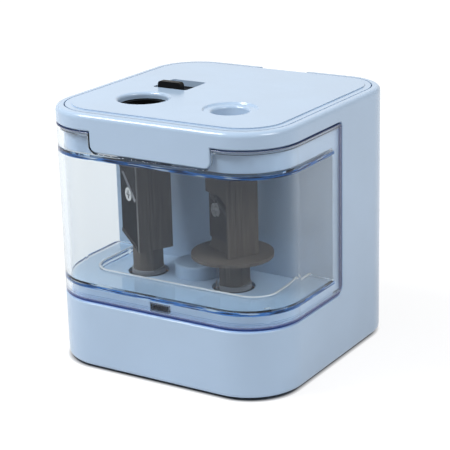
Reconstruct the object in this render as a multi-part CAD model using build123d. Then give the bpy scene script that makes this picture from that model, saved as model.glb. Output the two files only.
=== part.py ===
from build123d import *
import os
from math import acos, atan2, cos, pi, radians, sin, sqrt, tan

# Battery pencil sharpener with two pencil holes, in millimetres.
# The table is z = 0, the front is -Y, and the origin is under the middle of the housing.

# Envelope of the housing
width = 80.0
chamber_depth = 38.05
base_height = 20.3
bin_height = 53.1
hood_height = 4.8
front_corner_r = 17.1
rear_corner_r = 15.6
rim_round = 1.4
sole_round = 1.2
edge_round = 0.45
foot_drop = 0.8

# Housing walls and levels
wall = 2.0
lower_rim = 4.3
upper_rim = 6.9
ledge_w = 2.6
ledge_t = 2.0
ceiling_t = 2.0
ceiling_collar = 2.0
collar_wall = 1.8

# Drop-down tab in the middle of the hood's front
tab_x = 1.0
tab_w = 41.0
tab_drop = 6.1
tab_corner_r = 2.2

# Shavings bin
bin_wall = 1.8
bin_gap = 0.3
bin_lap = 4.6
seam = 0.35
flange_t = 1.5
flange_opening_w = 60.0
flange_reach = 11.0
flange_corner_r = 7.0
bin_edge_round = 0.3
lip_w = 0.8
lip_h = 0.6
lip_round = 0.3
edge_step_h = 1.2
edge_step_depth = 0.7
window_low_r = 3.0
window_high_r = 1.5
latch_x = 2.1
latch_w = 7.2
latch_h = 2.9
latch_foot = 1.0
latch_depth = 4.0
tongue_play = 0.4
tongue_reach = 1.6

# Top plate and its openings
rim_w = 2.5
plate_gap = 0.4
plate_t = 1.6
strip_w = 2.0
step_h = 0.3
large_mouth_d = 17.0
mouth_round = 1.0
small_dish_d = 16.4
small_dish_depth = 0.5
small_dish_slope = 0.5
small_mouth_d = 12.7
funnel_h = 4.5
guide_tube_wall = 1.5
guide_tube_gap = 0.5

# Guide slide under the large hole
large_pencil_d = 12.0
standard_pencil_d = 8.0
pencil_play = 0.6
guide_t = 2.0
guide_gap = 0.2
guide_w = 18.4
guide_travel = 9.5
guide_web = 1.0
fin_w = 8.3
fin_t = 2.0
fin_rise = 2.0
fin_round = 1.0
slot_w = 12.2
slot_setback = 13.75
slot_play = 0.1
slot_round = 0.9
rail_t = 1.6
rail_lip = 1.2
lip_t = 1.0

# Spindles
spindle_mid_x = -1.55
spindle_pitch = 30.4
run_play = 0.05
slide_play = 0.08
press_travel = 2.0
hub_d = 11.8
hub_rise = 1.2
neck_wall = 0.4
hub_floor = 2.4
shaft_hole_d = 12.6
bush_wall = 1.6
deck_t = 2.4
bush_lip = 1.3
key_flat = 0.9

# Cutter carriers
carrier_turn = 28.0
left_shaft_d = 9.3
right_shaft_d = 9.5
carrier_lift = 8.0
left_block_w = 10.9
left_block_d = 11.7
left_slant = 4.3
right_block_w = 11.6
right_block_d = 10.5
corner_bevel = 0.35
disc_d = 24.4
disc_t = 1.1
disc_lift = 9.8
disc_flare = 4.0
left_head_d = 17.0
right_head_d = 14.0
head_h = 7.0
head_gap = 0.3
head_flange_w = 1.0
head_flange_t = 1.6
tip_d = 1.6
left_cone_h = 30.5
right_cone_h = 20.0
blade_t = 0.6
blade_play = 0.1
blade_bevel = 0.45
seat_rim = 1.0
seat_ledge = 1.0
left_seat_drop = 0.25
right_seat_drop = 1.1
right_seat_top_drop = 12.9
left_edge_top_drop = 9.0
left_edge_drop = 19.8
right_edge_top_drop = 13.4
right_edge_drop = 20.4
shaving_slot = 1.4
slot_end = 2.0
blade_screw_d = 4.2
blade_screw_h = 1.1
blade_shank_d = 2.0
blade_shank_len = 2.6
left_screw_x = -0.5
right_screw_x = -2.6
screw_below_edge = 2.9
cross_w = 0.6
cross_len = 2.6
cross_depth = 0.5

# Gear train: teeth and modules, from the motor to the spindles
pressure_angle = 20.0
addendum = 0.85
dedendum = 1.15
backlash = 0.12
motor_teeth = 10
transfer_wheel_teeth = 30
motor_module = 0.5
transfer_pinion_teeth = 12
idler_wheel_teeth = 28
transfer_module = 0.6
idler_pinion_teeth = 12
spindle_teeth = 27
idler_setback = 4.3
spindle_gear_t = 3.8
idler_wheel_t = 3.0
transfer_wheel_t = 2.6
pinion_over = 0.2
deck_to_gear = 0.8
idler_axle_d = 3.0
transfer_axle_d = 2.0
hub_wall = 1.4
axle_cap = 1.2
idler_boss_d = 14.0
idler_boss_h = 4.2
boss_round = 0.6
fit_play = 0.03

# Lower gear frame and start switches
base_plate_t = 2.0
plate_play = 0.2
board_t = 1.6
board_margin = 1.0
switch_w = 8.0
switch_h = 4.8
switch_play = 0.3
switch_floor = 0.5
plunger_d = 3.2
plunger_spare = 0.8
plunger_bottom_play = 0.1
stem_gap = 0.15
stem_d = 4.2
stem_play = 0.3
journal_d = 8.0
journal_h = 2.0
cup_wall = 1.7
frame_t = 2.0
frame_lift = 2.8
frame_clear = 1.2
frame_margin = 3.0
frame_corner_r = 5.0
thrust_gap = 0.1
spring_len = 7.5
spring_wire = 0.7
spring_turns = 5
spring_play = 0.3

# Motor
motor_d = 20.1
motor_flat = 15.1
can_len = 20.0
end_cap_len = 5.1
end_cap_inset = 0.25
end_cap_corner_r = 1.5
end_cap_bevel = 0.6
motor_front_gap = 2.5
motor_rear_gap = 2.05
motor_boss_d = 6.0
motor_boss_h = 1.4
motor_shaft_d = 2.0
shaft_stub = 0.4
cradle_t = 1.8
cradle_gap = 0.3
cradle_play = 0.5
cradle_arm_h = 12.0
cradle_arm_w = 10.0
terminal_w = 2.2
terminal_t = 0.4
terminal_len = 3.5

# Batteries, tray and rear door
cell_d = 14.5
cell_len = 50.5
cell_nub_d = 5.5
cell_nub_h = 1.0
cell_gap = 0.7
cell_count = 4
cell_play = 0.3
cell_to_door = 1.0
contact_room = 3.0
contact_t = 0.4
contact_w = 9.0
contact_wire = 0.5
contact_turns = 3
tray_t = 1.4
tray_lift = 4.0
tray_play = 0.2
divider_t = 0.6
door_side = 0.85
door_t = 1.9
door_foot = 8.0
door_head = 2.2
door_gap = 0.3
notch_x = 0.7
notch_w = 17.4
notch_depth = 0.8
hook_w = 6.0
hook_t = 1.4
hook_drop = 2.2
hook_root = 1.8
hook_x = 16.0

# Fasteners and feet
post_d = 7.0
screw_d = 2.6
screw_len = 8.0
screw_head_d = 5.0
screw_head_h = 1.2
post_inset = 5.3
front_post_setback = 17.0
rear_post_setback = 28.1
web_t = 2.4
ear_d = 6.8
ear_inset = 5.6
corner_ear_inset = 9.1
rear_ear_setback = 3.05
frame_post_d = 5.0
front_frame_post = 12.0
rear_frame_post = 14.9
foot_d = 9.0
foot_t = 1.6
foot_side_inset = 18.0
foot_end_inset = 11.55

# Overall sizes: the column is as deep as the motor and the cells behind it need
motor_bay = wall + motor_front_gap + motor_flat + motor_rear_gap
battery_bay = tray_t + cell_play + cell_d + cell_to_door + cell_play + door_t
depth = chamber_depth + motor_bay + battery_bay
height = foot_drop + base_height + bin_height + hood_height

# Levels worked out from the sizes above
side = width / 2
front = -depth / 2
rear = depth / 2
big = 2 * (width + depth + height)
base_top = foot_drop + base_height
ledge_under = base_top - ledge_t
deck_top = base_top + lower_rim
deck_under = deck_top - deck_t
hood_bottom = base_top + bin_height
ceiling_under = hood_bottom - upper_rim
ceiling_top = ceiling_under + ceiling_t
collar_top = ceiling_top + ceiling_collar
head_top = collar_top + head_gap
head_bottom = ceiling_under - head_h
plate_under = height - plate_t
plate_top = height + step_h
tab_bottom = hood_bottom - tab_drop
guide_top = plate_under - guide_gap
guide_under = guide_top - guide_t
rim_inset = bin_wall + bin_gap
chamber_back = front + chamber_depth
column_front = chamber_back + bin_lap
base_plate_top = foot_drop + base_plate_t
board_top = base_plate_top + board_t
switch_top = board_top + switch_h
frame_under = base_plate_top + frame_lift
frame_top = frame_under + frame_t
cup_top = switch_top + switch_play + journal_h
hub_under = cup_top + thrust_gap
pocket_floor = hub_under + hub_floor
shaft_under = pocket_floor + spring_len
hub_top = deck_top + hub_rise
plunger_top = switch_top + press_travel + plunger_spare
stem_under = plunger_top + stem_gap
left_foot = deck_top + carrier_lift
disc_under = deck_top + disc_lift
disc_top = disc_under + disc_t
right_seat_top = ceiling_under - right_seat_top_drop
door_top = hood_bottom - door_head
tray_foot = door_foot + tray_lift

# Gear levels, from the deck downwards
spindle_gear_top = deck_under - deck_to_gear
gears_t = spindle_gear_t + idler_wheel_t + transfer_wheel_t
level_gap = (spindle_gear_top - frame_top - frame_clear - gears_t) / 2
spindle_gear_under = spindle_gear_top - spindle_gear_t
idler_wheel_top = spindle_gear_under - level_gap
idler_wheel_under = idler_wheel_top - idler_wheel_t
transfer_wheel_top = idler_wheel_under - level_gap
transfer_wheel_under = transfer_wheel_top - transfer_wheel_t
motor_base = idler_wheel_top + pinion_over + cradle_gap + cradle_t

# Axes in plan: the motor stands behind the chamber, and each pair of gears places the next axis in front
motor_y = chamber_back + wall + motor_front_gap + motor_flat / 2
transfer_y = motor_y - motor_module * (motor_teeth + transfer_wheel_teeth) / 2
idler_y = transfer_y - transfer_module * (transfer_pinion_teeth + idler_wheel_teeth) / 2
spindle_y = idler_y - idler_setback
left_x = spindle_mid_x - spindle_pitch / 2
right_x = spindle_mid_x + spindle_pitch / 2
spindle_centres = sqrt((spindle_pitch / 2) ** 2 + idler_setback ** 2)
spindle_module = 2 * spindle_centres / (idler_pinion_teeth + spindle_teeth)
spindles = {"left": (left_x, spindle_y), "right": (right_x, spindle_y)}
idler_at = (spindle_mid_x, idler_y)
transfer_at = (spindle_mid_x, transfer_y)
motor_at = (spindle_mid_x, motor_y)

# Fasteners in plan
post_ys = (front + front_post_setback, rear - rear_post_setback)
base_posts = [(sx * (side - post_inset), y) for sx in (-1, 1) for y in post_ys]
deck_ears = [(sx * (side - corner_ear_inset), front + corner_ear_inset) for sx in (-1, 1)]
deck_ears += [(sx * (side - ear_inset), chamber_back - rear_ear_setback) for sx in (-1, 1)]
frame_posts = [
    (spindle_mid_x, idler_y - front_frame_post),
    (left_x, spindle_y + rear_frame_post),
    (right_x, spindle_y + rear_frame_post),
]
foot_x = side - foot_side_inset
foot_y = depth / 2 - foot_end_inset
feet = [(sx * foot_x, sy * foot_y) for sx in (-1, 1) for sy in (-1, 1)]

# Batteries in plan
tray_rear = rear - door_t - cell_play
cell_y = tray_rear - cell_to_door - cell_d / 2
partition_rear = cell_y - cell_d / 2 - cell_play
partition_front = partition_rear - tray_t
tray_floor = tray_foot + tray_t
tray_roof = tray_floor + contact_t + contact_room + cell_len + contact_t
tray_top = tray_roof + tray_t
cell_pitch = cell_d + cell_gap
row_half = cell_pitch * (cell_count - 1) / 2
door_w = 2 * row_half + cell_d + 2 * cell_play + 2 * door_side
cell_xs = [cell_pitch * i - row_half for i in range(cell_count)]


# Shared shapes
def box(x0, x1, y0, y1, z0, z1):
    return Pos((x0 + x1) / 2, (y0 + y1) / 2, (z0 + z1) / 2) * Box(abs(x1 - x0), y1 - y0, z1 - z0)


def bar(x, w, y0, y1, z0, z1):
    """Box of width w with its middle at x."""
    return box(x - w / 2, x + w / 2, y0, y1, z0, z1)


def rod(at, z0, z1, d):
    return Pos(at[0], at[1], (z0 + z1) / 2) * Cylinder(d / 2, z1 - z0)


def taper(at, z0, z1, d0, d1):
    return Pos(at[0], at[1], (z0 + z1) / 2) * Cone(d0 / 2, d1 / 2, z1 - z0)


def round_mouth(at, top, d, r):
    """Cutter for the mouth of a hole: d wide at the top, and rounded by r into the hole below."""
    return rod(at, top - r, top + wall, d) - Pos(at[0], at[1], top - r) * Torus(d / 2, r)


def cross(at, z):
    """Cutter for a cross recess of depth cross_depth above and below z."""
    bars = Box(cross_len, cross_w, 2 * cross_depth) + Box(cross_w, cross_len, 2 * cross_depth)
    return Pos(at[0], at[1], z) * bars


def on_line(line, x):
    """Height at x of a slanted line through two points."""
    (x0, z0), (x1, z1) = line
    return z0 + (z1 - z0) * (x - x0) / (x1 - x0)


def plan(inset=0.0):
    """Outline of the housing from above, moved inwards by inset."""
    outline = Rectangle(width - 2 * inset, depth - 2 * inset)
    outline = fillet(outline.vertices().group_by(Axis.Y)[0], front_corner_r - inset)
    return fillet(outline.vertices().group_by(Axis.Y)[-1], rear_corner_r - inset)


def slab(face, z0, z1):
    return Pos(0, 0, z0) * extrude(face, z1 - z0)


def before(y):
    """Everything in front of y."""
    return box(-big, big, -big, y, -big, big)


def behind(y):
    return box(-big, big, y, big, -big, big)


def window(shrink):
    """Side view of the bin's place, in front of the column, as a solid across the housing."""
    y1 = column_front - shrink
    z0 = base_top + shrink
    z1 = hood_bottom - shrink
    solid = box(-big, big, -big, y1, z0, z1)
    back = solid.edges().filter_by(Axis.X).group_by(Axis.Y)[-1].sort_by(Axis.Z)
    solid = fillet(back[0], window_low_r - shrink)
    back = solid.edges().filter_by(Axis.X).group_by(Axis.Z)[-1].sort_by(Axis.Y)
    return fillet(back[-1], window_high_r - shrink)


def tab(grow):
    """Drop-down tab of the hood, as a solid through the front wall."""
    z0, z1 = tab_bottom - grow, hood_bottom + wall
    solid = bar(tab_x, tab_w + 2 * grow, front - wall, front + rim_inset, z0, z1)
    low = solid.edges().filter_by(Axis.Y).group_by(Axis.Z)[0]
    return fillet(low, tab_corner_r + grow)


def window_edges(solid):
    """Edges round the bin's place on the outside of the housing or of the bin."""
    inner = plan(fit_play)
    found = []
    for edge in solid.edges():
        ends = edge.bounding_box()
        within = ends.min.Z > base_top - fit_play and ends.max.Z < hood_bottom + fit_play
        points = [edge @ share for share in (0, 0.5, 1)]
        if within and not any(inner.is_inside((p.X, p.Y, 0)) for p in points):
            found.append(edge)
    return found


def d_bar(at, z0, z1, d, play=0.0):
    """Round bar with one flat, which turns its hub and slides in it."""
    keep = box(at[0] - d, at[0] + d / 2 - key_flat + play, at[1] - d, at[1] + d, z0, z1)
    return rod(at, z0, z1, d + 2 * play) & keep


def coil(at, z0, z1, mean_r, wire, turns):
    """Coil spring of square wire between two seats."""
    rise = z1 - z0 - wire
    path = Pos(at[0], at[1], z0 + wire / 2) * Helix(rise / turns, rise, mean_r)
    section = Plane(origin=path @ 0, z_dir=path % 0) * Rectangle(wire, wire)
    return sweep(section, path=path, is_frenet=True)


def gear_face(teeth, module, phase):
    """Spur gear outline, each flank a chord polygon of its involute, with a tooth at the angle phase."""
    pitch_r = module * teeth / 2
    base_r = pitch_r * cos(radians(pressure_angle))
    root_r = pitch_r - dedendum * module
    tip_r = pitch_r + addendum * module
    half_tooth = pi / (2 * teeth) - backlash / (2 * pitch_r)

    def roll(r):
        angle = acos(min(1.0, base_r / r))
        return tan(angle) - angle

    radii = sorted({root_r, max(root_r, base_r), pitch_r, tip_r})
    flank = [(r, half_tooth + roll(pitch_r) - roll(r)) for r in radii]
    points = []
    for tooth in range(teeth):
        middle = phase + 2 * pi * tooth / teeth
        points += [(r * cos(middle - a), r * sin(middle - a)) for r, a in flank]
        points += [(r * cos(middle + a), r * sin(middle + a)) for r, a in reversed(flank)]
    return make_face(Polyline(*points, close=True))


def gear(at, z0, z1, teeth, module, phase):
    return Pos(at[0], at[1], z0) * extrude(gear_face(teeth, module, phase), z1 - z0)


def meshed(phase, teeth, at, other_teeth, other_at):
    """Phase of a gear that runs with a gear of known phase."""
    line = atan2(other_at[1] - at[1], other_at[0] - at[0])
    return line + pi - teeth / other_teeth * (phase - line) + pi / other_teeth


left_phase = 0.0
idler_pinion_phase = meshed(left_phase, spindle_teeth, spindles["left"], idler_pinion_teeth, idler_at)
right_phase = meshed(idler_pinion_phase, idler_pinion_teeth, idler_at, spindle_teeth, spindles["right"])
idler_wheel_phase = 0.0
transfer_pinion_phase = meshed(
    idler_wheel_phase, idler_wheel_teeth, idler_at, transfer_pinion_teeth, transfer_at
)
transfer_wheel_phase = 0.0
motor_phase = meshed(transfer_wheel_phase, transfer_wheel_teeth, transfer_at, motor_teeth, motor_at)


# Housing
def housing_hollow():
    """Inside of the base, the column and the hood, with the seat of the top plate."""
    column_inner = column_front + wall
    recess_w = width - 2 * rim_inset - 2 * wall
    base = slab(plan(wall), foot_drop - wall, ledge_under)
    shaft = slab(plan(wall + ledge_w), ledge_under - wall, deck_top) & before(column_front)
    column = slab(plan(wall), foot_drop - wall, hood_bottom) & behind(column_inner)
    recess = bar(0, recess_w, chamber_back + wall, column_inner + wall, foot_drop - wall, hood_bottom)
    hood = slab(plan(rim_inset + wall), ceiling_top, plate_under)
    seat = slab(plan(rim_w), plate_under, height + wall)
    return [base, shaft, column, recess, hood, seat]


def chamber_cut():
    """Room of the bin and the carriers, without the rims that the bin laps over."""
    room = slab(plan(-wall), base_top, hood_bottom) & window(0)
    room += slab(plan(rim_inset), base_top, deck_top) & before(column_front)
    back_wall = slab(plan(rim_inset), deck_top, hood_bottom) & behind(chamber_back)
    ceiling = slab(plan(rim_inset), ceiling_under, hood_bottom)
    return room - back_wall - ceiling - tab(0)


def door_cut():
    opening = bar(0, door_w, rear - rear_corner_r / 2, rear + wall, door_foot, door_top)
    return [opening, bar(notch_x, notch_w, rear - rim_w, rear + wall, door_top - wall, height + wall)]


def main_housing():
    body = slab(plan(), foot_drop, height)
    body = fillet(body.edges().group_by(Axis.Z)[-1], rim_round)
    body = fillet(body.edges().group_by(Axis.Z)[0], sole_round)
    body -= chamber_cut()
    body = fillet(window_edges(body), edge_round)
    for hollow in housing_hollow():
        body -= hollow
    for at, head_d in ((spindles["left"], left_head_d), (spindles["right"], right_head_d)):
        body += rod(at, ceiling_under, collar_top, head_d + 2 * collar_wall)
        body -= rod(at, ceiling_under - wall, collar_top + wall, head_d + 2 * run_play)
    for x, y in base_posts:
        web_x = side - wall / 2 if x > 0 else -side + wall / 2
        body += rod((x, y), base_plate_top, base_top, post_d)
        body += box(x, web_x, y - web_t / 2, y + web_t / 2, base_plate_top, base_top)
        body -= rod((x, y), base_plate_top - wall, base_plate_top + screw_len, screw_d + 2 * fit_play)
    for at in deck_ears:
        body += rod(at, ledge_under, base_top, ear_d)
        body -= rod(at, ledge_under - wall, base_top + wall, screw_d + 2 * fit_play)
    for cut in door_cut():
        body -= cut
    return body


def top_plate():
    inset = rim_w + plate_gap
    plate = slab(plan(inset), plate_under, height) + slab(plan(inset + strip_w), plate_under, plate_top)
    left, right = spindles["left"], spindles["right"]
    tube_d = small_mouth_d + 2 * guide_tube_wall
    plate += rod(right, head_top + guide_tube_gap, plate_under, tube_d)
    dish_floor = plate_top - small_dish_depth
    throat = dish_floor - mouth_round
    guide_d = standard_pencil_d + pencil_play
    plate -= taper(right, dish_floor, plate_top, small_dish_d - 2 * small_dish_slope, small_dish_d)
    plate -= round_mouth(right, dish_floor, small_mouth_d, mouth_round)
    plate -= taper(right, throat - funnel_h, throat, guide_d, small_mouth_d - 2 * mouth_round)
    plate -= rod(right, head_top, throat, guide_d)
    plate -= rod(left, plate_under - wall, plate_top, large_mouth_d - 2 * mouth_round)
    plate -= round_mouth(left, plate_top, large_mouth_d, mouth_round)
    slot_y = spindle_y + slot_setback
    slot_len = guide_travel + fin_t + 2 * slot_play
    slot = Pos(left_x, slot_y + slot_len / 2) * RectangleRounded(slot_w, slot_len, slot_round)
    plate -= slab(slot, plate_under - wall, height + wall)
    rail_under = guide_under - guide_gap - lip_t
    rail_y0 = spindle_y - guide_travel - standard_pencil_d / 2
    rail_y1 = slot_y + slot_len
    for sx in (-1, 1):
        inner = left_x + sx * (guide_w / 2 + guide_gap)
        outer = inner + sx * rail_t
        lip = left_x + sx * (guide_w / 2 - rail_lip)
        plate += box(inner, outer, rail_y0, rail_y1, rail_under, plate_under)
        plate += box(lip, outer, rail_y0, rail_y1, rail_under, rail_under + lip_t)
    return plate


def guide_slide():
    fin_y = spindle_y + slot_setback + slot_play
    small_r = (standard_pencil_d + pencil_play) / 2
    small_at = (left_x, spindle_y - guide_travel)
    y0 = small_at[1] - small_r - guide_web
    y1 = fin_y + guide_travel + fin_t + guide_web
    slide = bar(left_x, guide_w, y0, y1, guide_under, guide_top)
    slide -= rod(spindles["left"], guide_under, guide_top, large_pencil_d + pencil_play)
    slide -= rod(small_at, guide_under, guide_top, 2 * small_r)
    fin = bar(left_x, fin_w, fin_y, fin_y + fin_t, guide_under, plate_top + fin_rise)
    fin = fillet(fin.edges().filter_by(Axis.Y).group_by(Axis.Z)[-1], fin_round)
    return slide + fin


def bin_flange(z0):
    """Inward flange of the bin, open to the rear so that it clears the carriers."""
    ring = slab(plan(bin_wall / 2), z0, z0 + flange_t) & before(chamber_back - bin_gap)
    opening = bar(0, flange_opening_w, spindle_y - flange_reach, big, z0, z0 + flange_t)
    return ring - fillet(opening.edges().filter_by(Axis.Z).group_by(Axis.Y)[0], flange_corner_r)


def bin_lip(z0):
    """Raised lip round the opening in the bin's floor, which keeps the shavings in."""
    back = chamber_back - bin_gap
    y0 = spindle_y - flange_reach
    outer = bar(0, flange_opening_w + 2 * lip_w, y0 - lip_w, back, z0, z0 + lip_h)
    outer = fillet(outer.edges().filter_by(Axis.Z).group_by(Axis.Y)[0], flange_corner_r + lip_w)
    inner = bar(0, flange_opening_w, y0, back, z0, z0 + lip_h)
    lip = outer - fillet(inner.edges().filter_by(Axis.Z).group_by(Axis.Y)[0], flange_corner_r)
    return fillet(lip.edges().group_by(Axis.Z)[-1], lip_round)


def shavings_bin():
    z0 = base_top + seam
    z1 = hood_bottom - seam
    shell = slab(plan(), z0, z1) - slab(plan(bin_wall), z0, z1)
    step = plan(bin_wall - edge_step_depth)
    shell -= slab(step, z0, z0 + edge_step_h)
    shell -= slab(step, z1 - edge_step_h, z1)
    shell = (shell & window(seam)) - tab(seam)
    shell = fillet(window_edges(shell), bin_edge_round)
    shell += bin_flange(deck_top + seam)
    shell += bin_lip(deck_top + seam + flange_t)
    shell += bin_flange(ceiling_under - bin_gap - flange_t)
    low = base_top + latch_foot + tongue_play
    high = base_top + latch_foot + latch_h - tongue_play
    y0, y1 = front + bin_wall / 2, front + rim_inset + tongue_reach
    return shell + bar(latch_x, latch_w - 2 * tongue_play, y0, y1, low, high)


def gear_deck():
    deck = slab(plan(rim_inset), deck_under, deck_top) & before(column_front - seam)
    skirt = slab(plan(rim_inset), base_top, deck_under) - slab(plan(rim_inset + wall), base_top, deck_under)
    deck += skirt & before(chamber_back)
    boss = rod(idler_at, deck_top, deck_top + idler_boss_h, idler_boss_d)
    deck += fillet(boss.edges().group_by(Axis.Z)[-1], boss_round)
    for at in frame_posts:
        deck += rod(at, frame_top, deck_under, frame_post_d)
        deck -= rod(at, frame_top, frame_top + screw_len, screw_d + 2 * fit_play)
    for at in deck_ears:
        deck += rod(at, base_top, deck_under, ear_d)
        deck -= rod(at, base_top, deck_top - axle_cap, screw_d + 2 * fit_play)
    for at in spindles.values():
        deck -= rod(at, deck_under, deck_top - bush_lip, hub_d + 2 * run_play + 2 * bush_wall)
        deck -= rod(at, deck_under, deck_top, shaft_hole_d)
    deck -= rod(idler_at, deck_under, deck_top + idler_boss_h - axle_cap, idler_axle_d + 2 * fit_play)
    deck -= rod(transfer_at, deck_under, deck_top - axle_cap, transfer_axle_d + 2 * fit_play)
    latch_y = front + rim_inset
    low = base_top + latch_foot
    return deck - bar(latch_x, latch_w, latch_y - wall, latch_y + latch_depth, low, low + latch_h)


def base_plate():
    plate = slab(plan(wall + plate_play), foot_drop, base_plate_top)
    for at in base_posts:
        plate -= rod(at, foot_drop, foot_drop + screw_head_h, screw_head_d + 2 * plate_play)
        plate -= rod(at, foot_drop, base_plate_top, screw_d + 2 * plate_play)
    for at in feet:
        plate -= rod(at, foot_drop, foot_t, foot_d)
    return plate


def screws(places, head_z, up):
    """Pan-head screws that point up from below, as one group of solids."""
    group = []
    for at in places:
        shank = rod(at, head_z + screw_head_h, head_z + screw_head_h + up, screw_d)
        group.append(rod(at, head_z, head_z + screw_head_h, screw_head_d) + shank - cross(at, head_z))
    return Compound(group)


# Gearbox
def gear_frame():
    x0 = left_x - journal_d / 2 - cup_wall - frame_margin
    x1 = right_x + journal_d / 2 + cup_wall + frame_margin
    y0 = frame_posts[0][1] - frame_margin
    y1 = motor_y + motor_flat / 2 + cradle_gap
    outline = Pos((x0 + x1) / 2, (y0 + y1) / 2) * RectangleRounded(x1 - x0, y1 - y0, frame_corner_r)
    frame = slab(outline, frame_under, frame_top)
    cup_d = sqrt(2) * switch_w + 2 * switch_play
    for at in spindles.values():
        frame += rod(at, frame_under, cup_top, cup_d + 2 * cup_wall)
        frame -= rod(at, frame_under, switch_top + switch_play, cup_d)
        frame -= rod(at, frame_under, cup_top, journal_d + 2 * run_play)
    for at, axle_d in ((idler_at, idler_axle_d), (transfer_at, transfer_axle_d)):
        frame -= rod(at, frame_under, frame_top, axle_d + 2 * fit_play)
    for at in frame_posts:
        frame -= rod(at, frame_under, frame_top, screw_d + 2 * fit_play)
    arm_x = motor_d / 2 + cradle_play
    y0, y1 = motor_y - cradle_arm_w / 2, motor_y + cradle_arm_w / 2
    for sx in (-1, 1):
        inner = motor_at[0] + sx * arm_x
        outer = inner + sx * cradle_t
        frame += box(inner, outer, y0, y1, frame_under, motor_base + cradle_arm_h)
    frame += bar(motor_at[0], 2 * arm_x + 2 * cradle_t, y0, y1, motor_base - cradle_t, motor_base)
    return frame - rod(motor_at, motor_base - cradle_t, motor_base, motor_boss_d + 2 * fit_play)


def spindle_bushes():
    bore_d = hub_d + 2 * run_play
    rings = [
        rod(at, deck_under, deck_top - bush_lip, bore_d + 2 * bush_wall - 2 * fit_play)
        - rod(at, deck_under, deck_top - bush_lip, bore_d)
        for at in spindles.values()
    ]
    return Compound(rings)


def spindle_gear(at, shaft_d, phase):
    body = gear(at, spindle_gear_under, spindle_gear_top, spindle_teeth, spindle_module, phase)
    body += rod(at, hub_under, deck_top - bush_lip, hub_d)
    body += rod(at, deck_top - bush_lip, hub_top, shaft_d + 2 * slide_play + 2 * neck_wall)
    body += rod(at, switch_top + switch_play, hub_under, journal_d)
    body -= d_bar(at, pocket_floor, hub_top + wall, shaft_d, slide_play)
    return body - rod(at, switch_top, pocket_floor, stem_d + 2 * stem_play)


def idler_gear():
    hub_d_low = idler_axle_d + 2 * hub_wall
    wheel_z = (idler_wheel_under, idler_wheel_top)
    pinion_z = (spindle_gear_under - pinion_over, spindle_gear_top + pinion_over)
    body = gear(idler_at, *wheel_z, idler_wheel_teeth, transfer_module, idler_wheel_phase)
    body += gear(idler_at, *pinion_z, idler_pinion_teeth, spindle_module, idler_pinion_phase)
    body += rod(idler_at, frame_top + thrust_gap, spindle_gear_top + pinion_over, hub_d_low)
    return body - rod(idler_at, frame_top, deck_under, idler_axle_d + 2 * run_play)


def transfer_gear():
    hub_d_low = transfer_axle_d + 2 * hub_wall
    wheel_z = (transfer_wheel_under, transfer_wheel_top)
    pinion_z = (idler_wheel_under - pinion_over, idler_wheel_top + pinion_over)
    body = gear(transfer_at, *wheel_z, transfer_wheel_teeth, motor_module, transfer_wheel_phase)
    body += gear(transfer_at, *pinion_z, transfer_pinion_teeth, transfer_module, transfer_pinion_phase)
    body += rod(transfer_at, frame_top + thrust_gap, idler_wheel_top, hub_d_low)
    return body - rod(transfer_at, frame_top, deck_under, transfer_axle_d + 2 * run_play)


def motor_pinion():
    z0, z1 = transfer_wheel_under - pinion_over, transfer_wheel_top + pinion_over
    pinion = gear(motor_at, z0, z1, motor_teeth, motor_module, motor_phase)
    return pinion - rod(motor_at, z0, z1, motor_shaft_d)


def motor_shaft():
    z0 = transfer_wheel_under - pinion_over - shaft_stub
    return rod(motor_at, z0, motor_base + can_len, motor_shaft_d)


def motor_outline(inset):
    """Round can with two flats, from above."""
    flats = Rectangle(motor_d, motor_flat - 2 * inset)
    return Pos(*motor_at) * (Circle(motor_d / 2 - inset) & flats)


def motor_can():
    can = slab(motor_outline(0), motor_base, motor_base + can_len)
    can += rod(motor_at, motor_base - motor_boss_h, motor_base, motor_boss_d)
    return can - rod(motor_at, motor_base - motor_boss_h, motor_base + can_len, motor_shaft_d + 2 * run_play)


def motor_end_cap():
    z0 = motor_base + can_len
    outline = motor_outline(end_cap_inset)
    outline = fillet(outline.vertices(), end_cap_corner_r)
    cap = slab(outline, z0, z0 + end_cap_len)
    return chamfer(cap.edges().group_by(Axis.Z)[-1], end_cap_bevel)


def motor_terminals():
    z = motor_base + can_len + end_cap_len
    tags = []
    for sx in (-1, 1):
        x = motor_at[0] + sx * motor_d / 4
        tags.append(bar(x, terminal_w, motor_y, motor_y + terminal_t, z, z + terminal_len))
    return Compound(tags)


# Cutter carriers
def on_spindle(at, solid):
    """Put a solid that is drawn about the spindle's axis, with its blade face to -Y, in its place."""
    return Pos(at[0], at[1], 0) * Rot(0, 0, -carrier_turn) * solid


def face_panel(points, y0, y1):
    """Flat piece drawn on the blade face: points are (across, height), from depth y0 to y1."""
    face = make_face(Polyline(*points, close=True))
    return Plane.XZ.offset(-y1) * extrude(face, y1 - y0)


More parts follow.
